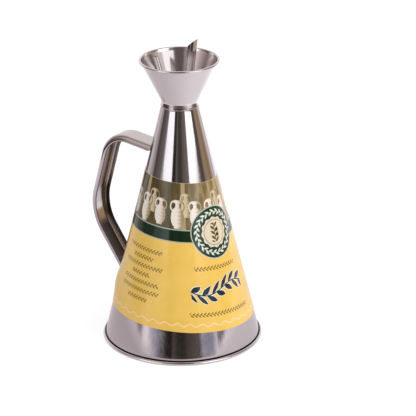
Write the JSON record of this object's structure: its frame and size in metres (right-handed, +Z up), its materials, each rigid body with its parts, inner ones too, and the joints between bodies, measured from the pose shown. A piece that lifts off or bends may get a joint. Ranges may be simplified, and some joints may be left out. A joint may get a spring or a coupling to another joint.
{
  "type": "olive oil tin",
  "caption": "Conical steel oil tin with funnel top, strap handle, paper label and a lift-out stopper carrying a turning pouring spout and an air vent tube.",
  "frame": {"origin": "centre of the circle that the base bead rests on", "axes": "+Z up along the cone's axis; +X the pouring direction; the handle is on -X"},
  "size_m": [0.126, 0.11, 0.2168],
  "materials": {
    "polished_steel": "stainless sheet, mirror polished",
    "satin_steel": "stainless sheet, spun and satin",
    "handle_steel": "stainless strap, polished",
    "tube_steel": "stainless tube, polished",
    "label_paper": "coated paper, printed, semi-gloss",
    "silicone": "moulded silicone, matt"
  },
  "bodies": {
    "can": {"base_plate": "satin_steel", "body_cone": "polished_steel", "funnel": "satin_steel", "handle": "handle_steel", "label_sleeve": "label_paper"},
    "stopper": {"stopper": "silicone"},
    "spout": {"pour_spout": "tube_steel"},
    "vent": {"vent_tube": "tube_steel"}
  },
  "joints": [
    {"name": "stopper_lift", "type": "slide", "parent": "can", "child": "stopper", "axis": [0, 0, 1], "range_m": [0, 0.088]},
    {"name": "spout_turn", "type": "hinge", "parent": "stopper", "child": "spout", "pos_m": [0.0061, 0, 0.16], "axis": [0, 0, 1], "continuous": true},
    {"name": "vent_turn", "type": "hinge", "parent": "stopper", "child": "vent", "pos_m": [-0.0076, 0, 0.16], "axis": [0, 0, 1], "range_deg": [-120, 120]}
  ]
}
